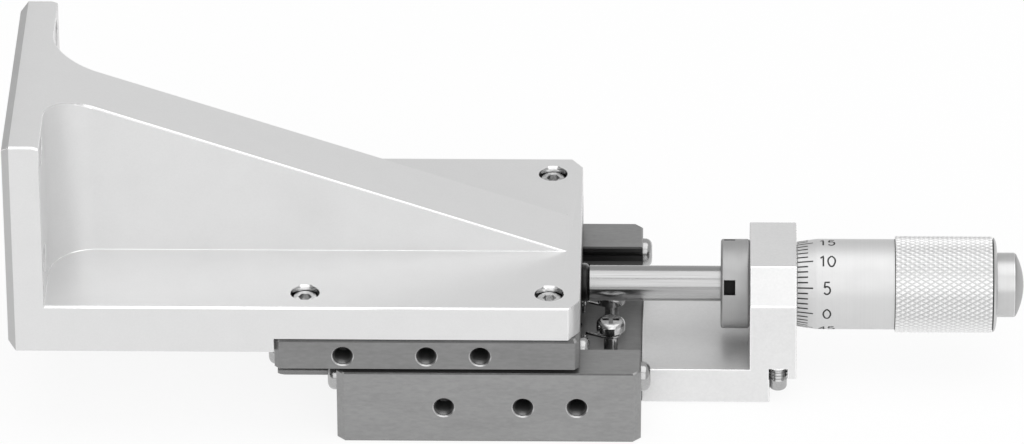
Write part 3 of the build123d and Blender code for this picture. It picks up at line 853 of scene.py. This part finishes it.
@dataclass
class Springs:
    """The two return springs, wound from wire between the posts and the anchors."""

    wire: float = 0.35
    coil_radius: float = 2.15
    turns: int = 44
    points_per_turn: int = 14
    hook_radius: float = 1.95
    hook_steps: int = 16
    hook_leg: float = 5.6
    leg_bends: Place = (0.15, 0.85)
    travel: float = 25.0
    anchor_arc: Place = (300.0, 0.0)
    post_arc: Place = (-330.0, -66.0)

    def build(self) -> None:
        """Dress the posts and anchors, and wind both springs."""
        for side in Side:
            post, anchor = f"spring_post_{side.value}", f"spring_anchor_{side.value}"
            # The cross recess gets painted shade.
            cross = {Metal.RECESS: PostRecess(middle(post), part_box(post)[1].z).holds}
            Shop.dress(post, "base", "screw_steel", Metal.POST, others=cross, flat=False)
            Shop.dress(anchor, "carriage", "screw_steel", Metal.SCREW, flat=False)
            self.wind(side, middle(anchor), middle(post))

    def wind(self, side: Side, anchor: Vector, post: Vector) -> None:
        """Wind one spring: coils, and a hook that rides with each screw.

        Args:
            side: the half it lies in.
            anchor: middle of its anchor, which the carriage takes along.
            post: middle of its post on the base.
        """
        node = f"return_spring_{side.value}"
        low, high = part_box(node)
        axis_z = low.z + (self.coil_radius + self.wire) * MM
        top = axis_z + self.coil_radius * MM
        hook_z = high.z - self.wire * MM if side is Side.FRONT else axis_z
        start, end = anchor.x + self.hook_leg * MM, post.x - self.hook_leg * MM
        steps = self.turns * self.points_per_turn
        coils = []
        for step in range(steps + 1):
            turn = math.tau * step / self.points_per_turn
            y = post.y + self.coil_radius * MM * math.sin(turn)
            z = axis_z + self.coil_radius * MM * math.cos(turn)
            coils.append(Vector((between((start, end), step / steps), y, z)))
        piece = self.bend_wire(f"{node}_coils", coils, "base", node)
        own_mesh(piece)
        bend = end + self.wire * MM
        leg = [
            Vector((end, post.y, top)),
            *(Vector((bend, post.y, between((top, hook_z), share))) for share in self.leg_bends),
            Vector((bend + self.wire * MM, post.y, hook_z)),
        ]
        leg += reversed(self.hook((post.x, post.y, hook_z), -1, self.post_arc))
        self.bend_wire(f"{node}_post_hook", leg, "base")
        leg = self.hook((anchor.x, post.y, top), 1, self.anchor_arc)
        leg.append(Vector((start, post.y, top)))
        self.bend_wire(f"{node}_anchor_hook", leg, "carriage")

    def hook(self, centre: tuple[float, float, float], way: int, arc: Place) -> list[Vector]:
        """Points of a hook round a screw, from its tip to the start of its leg.

        Args:
            centre: middle of the hook, on the screw's axis.
            way: 1 when the leg lies on the far side in X, -1 when on the near side.
            arc: angles of the tip and of the leg's start from the leg's side, in degrees.

        Returns:
            The points.
        """
        x, y, z = centre
        reach = self.hook_radius * MM
        points = []
        for step in range(self.hook_steps + 1):
            turn = math.radians(between(arc, step / self.hook_steps))
            along, across = way * reach * math.cos(turn), reach * math.sin(turn)
            points.append(Vector((x + along, y + across, z)))
        return points

    def bend_wire(self, name: str, route: list[Vector], body: str, node: str = "") -> Piece:
        """Bend round wire along a route.

        Args:
            name: the piece's name.
            route: the points that the wire follows.
            body: the body it rides on.
            node: the CAD node it stands for, if any.

        Returns:
            The piece.
        """
        curve = Shop.wire(self.wire * MM)
        line = curve.splines.new("POLY")
        line.points.add(len(route) - 1)
        for point, place in zip(line.points, route):
            point.co = (*place, 1.0)
        work = bmesh.new()
        Shop.add_curve(work, curve)
        return Shop.add(name, work, body, "spring_steel", Metal.WIRE, node=node, corner=60.0)


@dataclass
class Arm:
    """The micrometer's arm and block, with the set screw in the block's underside."""

    edge: float = 0.3
    bevel_area: float = 1e-5
    tip_rounding: float = 0.9
    thread_start: float = 2.6
    pitch: float = 0.75
    thread_depth: float = 0.3
    rows: int = 5
    steps: int = 48

    def build(self) -> None:
        """Dress the arm and make the set screw."""
        # The arm's edges get the painted highlight, its front bevel painted shade.
        Shop.dress(
            "micrometer_arm", "base", "arm_aluminium", Metal.ARM, self.edge, Metal.RIM,
            others={Metal.ARM_BEVEL: self.on_front_bevel},
        )
        low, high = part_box("set_screw")
        radius, tip, top = (high.x - low.x) / 2 / MM, low.z / MM, high.z / MM
        outline: list[Place] = [(0.0, tip)]
        for turn in QUARTER:
            around = radius - self.tip_rounding * (1 - math.sin(turn))
            outline.append((around, tip + self.tip_rounding * (1 - math.cos(turn))))
        start = tip + self.thread_start
        outline += thread(radius, radius - self.thread_depth, start, self.pitch, self.rows)
        outline += [(radius, start + self.rows * self.pitch), (radius, top), (0.0, top)]
        axis = middle("set_screw")
        work = Shop.spun(outline, Matrix.Translation((axis.x, axis.y, 0)), self.steps)
        Shop.add("set_screw_thread", work, "base", "screw_steel", Metal.SCREW, node="set_screw")

    def on_front_bevel(self, face: Face) -> bool:
        """Whether a face is the block's bevel towards the front, given painted shade."""
        return slants_forward(face, self.bevel_area)


class Glyph:
    """Single stroke figures, in cells one high and half a WIDTH wide."""

    WIDTH = 1.16
    LINES: dict[str, list[tuple[bool, list[Place]]]] = {
        "0": [(True, [(0.25, 1.0), (0.03, 0.72), (0.03, 0.28), (0.25, 0.0), (0.47, 0.28),
                      (0.47, 0.72), (0.25, 1.0)])],
        "1": [(False, [(0.1, 0.76), (0.3, 1.0), (0.3, 0.0)])],
        "2": [(True, [(0.04, 0.76), (0.12, 0.94), (0.27, 1.0), (0.44, 0.9), (0.45, 0.68),
                      (0.3, 0.42), (0.03, 0.02)]), (False, [(0.02, 0.0), (0.49, 0.0)])],
        "3": [(True, [(0.04, 0.84), (0.15, 0.98), (0.34, 0.98), (0.43, 0.8), (0.36, 0.6),
                      (0.2, 0.54)]),
              (True, [(0.2, 0.54), (0.4, 0.47), (0.47, 0.27), (0.36, 0.04), (0.15, 0.01),
                      (0.03, 0.17)])],
        "4": [(False, [(0.36, 0.0), (0.36, 1.0), (0.01, 0.3), (0.5, 0.3)])],
        "5": [(False, [(0.44, 1.0), (0.11, 1.0), (0.06, 0.55)]),
              (True, [(0.06, 0.55), (0.2, 0.64), (0.38, 0.58), (0.47, 0.36), (0.4, 0.1),
                      (0.22, 0.0), (0.03, 0.13)])],
    }

    @staticmethod
    def divided(points: list[Place], longest: float = 0.2) -> list[Place]:
        """Divide a broken line, so that it can follow a round.

        Args:
            points: the line's corners.
            longest: the longest step between two points.

        Returns:
            The corners with points between them.
        """
        line = [points[0]]
        for start, end in zip(points, points[1:]):
            cuts = math.ceil(math.dist(start, end) / longest)
            steps = [step / cuts for step in range(1, cuts + 1)]
            line += [tuple(Vector(start).lerp(Vector(end), step)) for step in steps]
        return line

    @classmethod
    def write(cls, curve: bpy.types.Curve, text: str, gap: float) -> float:
        """Lay a text's strokes in a curve.

        Args:
            curve: the curve that gets the strokes.
            text: the figures.
            gap: space between two figures, in cell heights.

        Returns:
            The text's width, in cell heights.
        """
        shift = 0.0
        for figure in text:
            for smooth, corners in cls.LINES[figure]:
                points = corners if smooth else cls.divided(corners)
                line = curve.splines.new("BEZIER")
                line.bezier_points.add(len(points) - 1)
                for handle, (x, y) in zip(line.bezier_points, points):
                    handle.co = (x * cls.WIDTH + shift, y, 0.0)
                    kind = "AUTO" if smooth else "VECTOR"
                    handle.handle_left_type = handle.handle_right_type = kind
            shift += cls.WIDTH / 2 + gap
        return shift - gap


@dataclass
class Thimble:
    """The plain thimble, spun anew so that its dial lies close on it."""

    bore: float = 8.25
    bore_edge: float = 0.05
    nose_radius: float = 9.1
    nose_edge: float = 0.08
    taper: float = 4.2
    blend: float = 0.5
    seat_radius: float = 9.25
    rear_bore: float = 3.3
    rear_wall: float = 3.0
    steps: int = 192

    def build(self) -> None:
        """Spin the thimble and its closed rear."""
        low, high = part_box("thimble")
        length, radius = (high.x - low.x) / MM, radius_of("thimble")
        grip = (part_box("grip_sleeve")[0].x - low.x) / MM
        slope = (radius - self.nose_radius) / self.taper
        outline = [
            (self.bore, self.bore_edge),
            (self.bore + self.bore_edge, 0.0),
            (self.nose_radius - self.nose_edge, 0.0),
            (self.nose_radius, self.nose_edge),
            (radius - slope * self.blend, self.taper - self.blend),
            (radius - slope * self.blend / 4, self.taper),
            (radius, self.taper + self.blend),
            (radius, grip),
            (self.seat_radius, grip),
            (self.seat_radius, length),
            (self.rear_bore, length),
            (self.rear_bore, length - self.rear_wall),
            (self.bore, length - self.rear_wall),
        ]
        work = Shop.spun(outline, on_drive(low.x), self.steps, closed=True)
        slot = "thimble_chrome"
        Shop.add("thimble_spun", work, "thimble", slot, Metal.THIMBLE, node="thimble", corner=20.0)


@dataclass
class Scale:
    """Marks and figures on a round of the micrometer.

    Attributes:
        body: the body that carries them.
        slot: the slot of the piece under them.
        line: width of a mark in millimetres.
        height: height of a figure.
        stroke: width of a figure's stroke.
        gap: space between two figures, as a share of their height.
        lift: how far they stand over the surface.
        flatness: how much of its thickness a stroke keeps.
        zero: angle of the zero line, from the front towards the top.
    """

    body: str
    slot: str
    line: float = 0.31
    height: float = 2.6
    stroke: float = 0.35
    gap: float = 0.16
    lift: float = 0.02
    flatness: float = 0.05
    zero: float = math.radians(-11.5)

    def radius_at(self, x: float) -> float:
        """Radius of the surface at a place along the drive, in millimetres."""
        raise NotImplementedError

    def wrap(self, x: float, around: float, angle: float, lift: float = 0.0) -> Vector:
        """Point of a mark, at x and at a distance round the surface from the mark's angle."""
        radius = self.radius_at(x)
        return round_drive(x, radius + self.lift + lift, angle + around / radius)

    def mark(
        self, work: Mesh, along: Place, around: Place, angle: float, cuts: tuple[int, int]
    ) -> None:
        """Lay one mark.

        Args:
            work: the marks so far.
            along: its ends along the drive.
            around: its ends round the surface, from its angle.
            angle: its angle, from the front towards the top.
            cuts: its faces along and around.
        """
        columns, rows = cuts
        made = bmesh.ops.create_grid(work, x_segments=columns, y_segments=rows, size=0.5)
        for vert in made["verts"]:
            x, reach = between(along, vert.co.x + 0.5), between(around, vert.co.y + 0.5)
            vert.co = self.wrap(x, reach, angle)

    def figures(
        self, work: Mesh, text: str, x: float, angle: float, around: float = 0.0
    ) -> None:
        """Lay a number.

        Args:
            work: the marks so far.
            text: the number.
            x: its middle along the drive.
            angle: the angle that it is laid by.
            around: distance of its middle round the surface from that angle.
        """
        curve = Shop.wire(self.stroke / self.height / 2)
        curve.resolution_u = 6
        width = Glyph.write(curve, text, self.gap)
        for vert in Shop.add_curve(work, curve):
            along = x + (vert.co.x - width / 2) * self.height
            rise = around + (vert.co.y - 0.5) * self.height
            vert.co = self.wrap(along, rise, angle, vert.co.z * self.height * self.flatness)

    def ink(self, name: str, work: Mesh) -> None:
        """Ink the marks and let them ride."""
        bmesh.ops.recalc_face_normals(work, faces=work.faces)
        Shop.add(name, work, self.body, self.slot, Metal.INK)


@dataclass
class Dial(Scale):
    """The thimble's dial of fifty divisions, which reads from its nose."""

    divisions: int = 50
    numbered: int = 5
    inset: float = 0.06
    short: float = 2.3
    long: float = 3.4
    cuts: int = 8
    figure_place: float = 6.4

    def __post_init__(self) -> None:
        """Read the thimble's place and size."""
        self.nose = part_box("thimble")[0].x / MM
        self.radii = (Thimble.nose_radius, radius_of("thimble"))

    def radius_at(self, x: float) -> float:
        """Radius of the thimble, on its taper or behind it."""
        return between(self.radii, min(max((x - self.nose) / Thimble.taper, 0.0), 1.0))

    def build(self) -> None:
        """Lay the marks and figures."""
        work = bmesh.new()
        around = (-self.line / 2, self.line / 2)
        for division in range(self.divisions):
            angle = self.zero + math.tau * division / self.divisions
            reach = self.short if division % self.numbered else self.long
            along = (self.nose + self.inset, self.nose + reach)
            self.mark(work, along, around, angle, (self.cuts, 1))
            if division % self.numbered == 0:
                self.figures(work, str(division), self.nose + self.figure_place, angle)
        self.ink("dial_marks", work)


@dataclass
class SleeveScale(Scale):
    """The sleeve's scale of half millimetres, which the thimble uncovers."""

    line: float = 0.16
    height: float = 2.0
    stroke: float = 0.18
    travel: int = 25
    numbered: int = 5
    spare: float = 1.0
    start: float = 0.1
    short: float = 1.3
    long: float = 1.9
    cuts: int = 6
    figure_place: float = 3.4

    def __post_init__(self) -> None:
        """Read the sleeve's size and where the scale begins."""
        self.round = radius_of("micrometer_barrel")
        self.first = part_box("thimble")[0].x / MM

    def radius_at(self, x: float) -> float:
        """Radius of the sleeve, the same all along."""
        return self.round

    def build(self) -> None:
        """Lay the line, its marks and figures."""
        work = bmesh.new()
        along, half_line = (self.first, self.first + self.travel + self.spare), self.line / 2
        self.mark(work, along, (-half_line, half_line), self.zero, (1, 1))
        for half in range(2 * self.travel + 1):
            x = self.first + half / 2
            numbered = half % (2 * self.numbered) == 0
            around = (self.start, self.long if numbered else self.short)
            if half % 2:
                around = (-self.short, -self.start)
            along = (x - half_line, x + half_line)
            self.mark(work, along, around, self.zero, (1, self.cuts))
            if numbered:
                self.figures(work, str(half // 2), x, self.zero, self.figure_place)
        self.ink("sleeve_scale", work)


@dataclass
class Grip:
    """The knurled grip sleeve, with a plain cone at its rear."""

    diamond_length: float = 2.0
    diamond_width: float = 1.18
    depth: float = 0.27
    top_share: float = 0.25
    lap: float = 0.03
    skirt: float = 0.1
    knurl_reach: float = 0.3
    groove: float = 0.3
    front_groove: float = 0.18
    groove_depth: float = 0.4
    groove_slant: float = 0.05
    cone_radius: float = 7.3
    cone_length: float = 1.4
    cone_step: float = 0.2
    steps: int = 128

    def __post_init__(self) -> None:
        """Read the sleeve's place and size, and lay out the knurl."""
        low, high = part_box("grip_sleeve")
        self.first, self.rear = low.x / MM, high.x / MM - low.x / MM
        self.start = self.first + self.front_groove
        self.end = self.first + self.rear - self.cone_length + self.knurl_reach
        self.radius = radius_of("grip_sleeve")

    def build(self) -> None:
        """Make the sleeve under the knurl, then the knurl."""
        core = self.radius - self.depth + self.lap
        bottom, top = core - self.groove_depth, self.radius - self.cone_step
        length = self.end - self.first
        cone = length + self.groove
        outline = [
            (Thimble.seat_radius, 0.0),
            (bottom, 0.0),
            (bottom, self.front_groove),
            (core, self.front_groove + self.groove_slant),
            (core, length),
            (bottom, length + self.groove_slant),
            (bottom, cone),
        ]
        for turn in QUARTER:
            around = between((self.cone_radius, top), math.cos(turn))
            outline.append((around, between((cone, self.rear), math.sin(turn))))
        outline.append((Thimble.rear_bore, self.rear))
        work = Shop.spun(outline, on_drive(self.first * MM), self.steps)
        # Painted shade: the two grooves at the knurl's ends are near black.
        for face in work.faces:
            x = face.calc_center_median().x / MM
            if x < self.start or self.end < x < self.end + self.groove:
                face.material_index = 1
        body, slot = "thimble", "grip_chrome"
        Shop.add("grip_core", work, body, slot, Metal.GRIP_CONE, Metal.WAY, node="grip_sleeve")
        Shop.add("grip_knurl", self.knurl(), body, slot, Metal.GRIP, corner=20.0)

    def knurl(self) -> Mesh:
        """Lay a band of diamonds flat, then wrap it round the sleeve.

        Returns:
            The band.
        """
        count = round(math.tau * self.radius / self.diamond_width)
        half, half_turn = (self.end - self.start) / 2, math.pi * self.radius
        half_cell, half_width = self.diamond_length / 2, half_turn / count
        cells = count + math.ceil(half / half_cell) + 2
        work = bmesh.new()
        bmesh.ops.create_grid(work, x_segments=cells, y_segments=cells, size=cells / 2)
        bmesh.ops.inset_individual(
            work, faces=work.faces, thickness=(1 - self.top_share) / 2, depth=1.0,
            use_even_offset=True,
        )
        lattice = Matrix((
            (half_cell, half_cell, 0, 0),
            (half_width, -half_width, 0, 0),
            (0, 0, self.depth, 0),
            (0, 0, 0, 1),
        ))
        bmesh.ops.transform(work, matrix=lattice, verts=work.verts)
        for reach, outward in (
            (half, (1, 0, 0)), (half, (-1, 0, 0)), (half_turn, (0, 1, 0)), (half_turn, (0, -1, 0)),
        ):
            bmesh.ops.bisect_plane(
                work, geom=work.verts[:] + work.edges[:] + work.faces[:], dist=10 * WELD,
                plane_co=Vector(outward) * reach, plane_no=outward, clear_outer=True,
            )
        core, centre = self.radius - self.depth, (self.start + self.end) / 2
        for vert in work.verts:
            along, around, up = vert.co
            vert.co = round_drive(centre + along, core + up, around / self.radius)
        bmesh.ops.remove_doubles(work, verts=work.verts, dist=2 * WELD)
        self.close_ends(work, (core - self.skirt) * MM)
        bmesh.ops.recalc_face_normals(work, faces=work.faces)
        return work

    @staticmethod
    def close_ends(work: Mesh, radius: float) -> None:
        """Turn the band's cut ends down to a radius inside the sleeve.

        Args:
            work: the band.
            radius: the radius, in metres.
        """
        rims = [edge for edge in work.edges if edge.is_boundary]
        made = bmesh.ops.extrude_edge_only(work, edges=rims)["geom"]
        for vert in [part for part in made if isinstance(part, bmesh.types.BMVert)]:
            spoke = Vector((0, vert.co.y, vert.co.z - DRIVE_Z)).normalized() * radius
            vert.co = Vector((vert.co.x, spoke.y, DRIVE_Z + spoke.z))


@dataclass
class Micrometer:
    """The drive: spindle, nut, barrel, thimble, grip and end cap."""

    edge: float = 0.1
    nut_wall: float = 0.35
    slot_depth: float = 3.0

    def __post_init__(self) -> None:
        """Read the nut's place and size."""
        self.nut_low, self.nut_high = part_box("clamp_nut")

    def build(self) -> None:
        """Dress the round pieces, then lay the scales and the knurl."""
        Shop.dress("spindle", "spindle", "spindle_steel", Metal.SPINDLE)
        # The thrust pad is painted shade.
        Shop.dress("thrust_pad", "carriage", "bolt_steel", Metal.PAD, self.edge)
        Shop.dress(
            "clamp_nut", "base", "nut_steel", Metal.NUT, self.edge,
            others={Metal.SLOT: self.in_nut_slot},
        )
        Shop.dress("micrometer_barrel", "base", "barrel_steel", Metal.BARREL)
        Thimble().build()
        # The end cap's rim gets the painted highlight, its dome painted shade.
        Shop.dress(
            "end_cap", "thimble", "knob_steel", Metal.KNOB, self.edge, Metal.RIM,
            others={Metal.DOME: lambda face: face.normal.x > SLANTED},
        )
        Shop.dress("lead_screw", "thimble", "spindle_steel", Metal.SPINDLE)
        for node in ("adjusting_nut", "spindle_key", "arm_screw_1", "arm_screw_2"):
            Shop.paint(node, Metal.BOLT)
        Dial("thimble", "thimble_chrome").build()
        SleeveScale("base", "barrel_steel").build()
        Grip().build()

    def in_nut_slot(self, face: Face) -> bool:
        """Whether a face of the nut lies inside one of its spanner slots, given painted shade.

        Args:
            face: the face.

        Returns:
            True if it does.
        """
        low, high = self.nut_low, self.nut_high
        centre, wall = face.calc_center_median(), self.nut_wall * MM
        reach, radius = math.hypot(centre.y, centre.z - DRIVE_Z), (high.z - low.z) / 2
        deep = radius - self.slot_depth * MM < reach < radius - wall
        return deep and low.x + wall < centre.x < high.x - wall


@dataclass(frozen=True)
class Softbox:
    """A rectangular lamp that faces the stage's middle line.

    Attributes:
        name: its name.
        elevation: its angle over the floor in degrees, from the front.
        size: its width and depth.
        radiance: how bright it is to look at, where 1 is white.
        shift: how far it hangs to the right.
        distance: how far it hangs from the middle line.
    """

    name: str
    elevation: float
    size: Place
    radiance: float
    shift: float = 0.3
    distance: float = 2.5

    def build(self) -> None:
        """Hang the lamp."""
        light = bpy.data.lights.new(self.name, "AREA")
        light.shape = "RECTANGLE"
        light.size, light.size_y = self.size
        light.energy = self.radiance * math.pi * self.size[0] * self.size[1]
        lift = Matrix.Rotation(math.radians(90 - self.elevation), 4, "X")
        out = Matrix.Translation((self.shift, 0, self.distance))
        hang(self.name, light).matrix_world = lift @ out


@dataclass
class Studio:
    """Camera, lamps, floor and surroundings.

    Attributes:
        place: the camera's place.
        aim: the way it looks.
        roll: its turn about that way, in degrees.
        focal: its focal length, in millimetres.
        film: width of its film.
        sight: the nearest and the farthest that it sees, in metres.
        lamps: the soft boxes.
        floor_size: length of the floor's sides.
        floor_shade: the floor's own brightness.
        shadow_share: how much of that the camera sees, under plain white.
        room: light from all round.
        left_room: light from the left.
        left_band: where the one fades into the other, from -1 at the left to 1 at the right.
    """

    place: tuple[float, float, float] = (0.044534, -1.670503, 0.989666)
    aim: tuple[float, float, float] = (-0.020814, 0.868189, -0.495797)
    roll: float = -0.4032
    focal: float = 314.258
    film: float = 36.0
    sight: Place = (0.05, 20.0)
    lamps: tuple[Softbox, ...] = (
        Softbox("front_softbox", 32.0, (3.2, 2.35), 0.94),
        Softbox("top_softbox", 89.0, (3.2, 2.5), 1.15),
    )
    floor_size: float = 8.0
    floor_shade: float = 0.95
    shadow_share: float = 0.12
    room: float = 0.63
    left_room: float = 0.1
    left_band: Place = (-0.9, -0.1)

    def build(self) -> None:
        """Set up the shot."""
        self.camera()
        for lamp in self.lamps:
            lamp.build()
        self.world()
        self.floor()
        bpy.context.scene.view_settings.view_transform = "Standard"

    def camera(self) -> None:
        """Stand the camera where the photograph was taken from."""
        lens = bpy.data.cameras.new("photo_camera")
        lens.sensor_fit = "HORIZONTAL"
        lens.sensor_width = self.film
        lens.lens = self.focal
        lens.clip_start, lens.clip_end = self.sight
        stand = hang("photo_camera", lens)
        look = Vector(self.aim).to_track_quat("-Z", "Y").to_matrix().to_4x4()
        turn = Matrix.Rotation(math.radians(self.roll), 4, "Z")
        stand.matrix_world = Matrix.Translation(self.place) @ look @ turn
        bpy.context.scene.camera = stand

    def world(self) -> None:
        """Set soft light from all round, dimmer from the left."""
        world = bpy.data.worlds.new("studio")
        bpy.context.scene.world = world
        graph = Graph.emptied(world)
        way = graph.add("ShaderNodeTexCoord").outputs["Generated"]
        across = graph.add("ShaderNodeSeparateXYZ", {0: way}).outputs["X"]
        tone = graph.ranged(across, self.left_band, (self.left_room, self.room))
        sky = graph.add("ShaderNodeBackground", {"Color": tone, "Strength": 1.0})
        graph.add("ShaderNodeOutputWorld", {"Surface": sky.outputs["Background"]})

    def floor(self) -> None:
        """Lay a plain pale floor, white to the camera but for the shadow."""
        work = bmesh.new()
        bmesh.ops.create_grid(work, x_segments=1, y_segments=1, size=self.floor_size / 2)
        mesh = bpy.data.meshes.new("floor")
        work.to_mesh(mesh)
        work.free()
        floor = hang("floor", mesh)
        paint = bpy.data.materials.new("floor_paint")
        mesh.materials.append(paint)
        graph = Graph.emptied(paint)
        pale = {"Color": grey(self.floor_shade), "Roughness": 0.5}
        matt = graph.add("ShaderNodeBsdfDiffuse", pale).outputs["BSDF"]
        white = {"Color": grey(1.0), "Strength": 1.0}
        glow = graph.add("ShaderNodeEmission", white).outputs["Emission"]
        rays = graph.add("ShaderNodeLightPath").outputs
        seen = graph.math("MAXIMUM", rays["Is Camera Ray"], rays["Is Glossy Ray"])
        seen = graph.math("MAXIMUM", seen, rays["Is Transmission Ray"])
        share = graph.math("MULTIPLY", seen, 1 - self.shadow_share)
        mix = graph.add("ShaderNodeMixShader", {0: share, 1: matt, 2: glow}).outputs["Shader"]
        graph.add("ShaderNodeOutputMaterial", {"Surface": mix})


def main() -> None:
    """Build the stage's parts in order, then the studio."""
    logging.basicConfig(level=logging.INFO, format="%(name)s: %(message)s")
    for part in (Platform(), AngleBracket(), Springs(), Arm(), Micrometer(), Studio()):
        part.build()
        LOG.info("%s done", type(part).__name__)


if __name__ == "__main__":
    main()
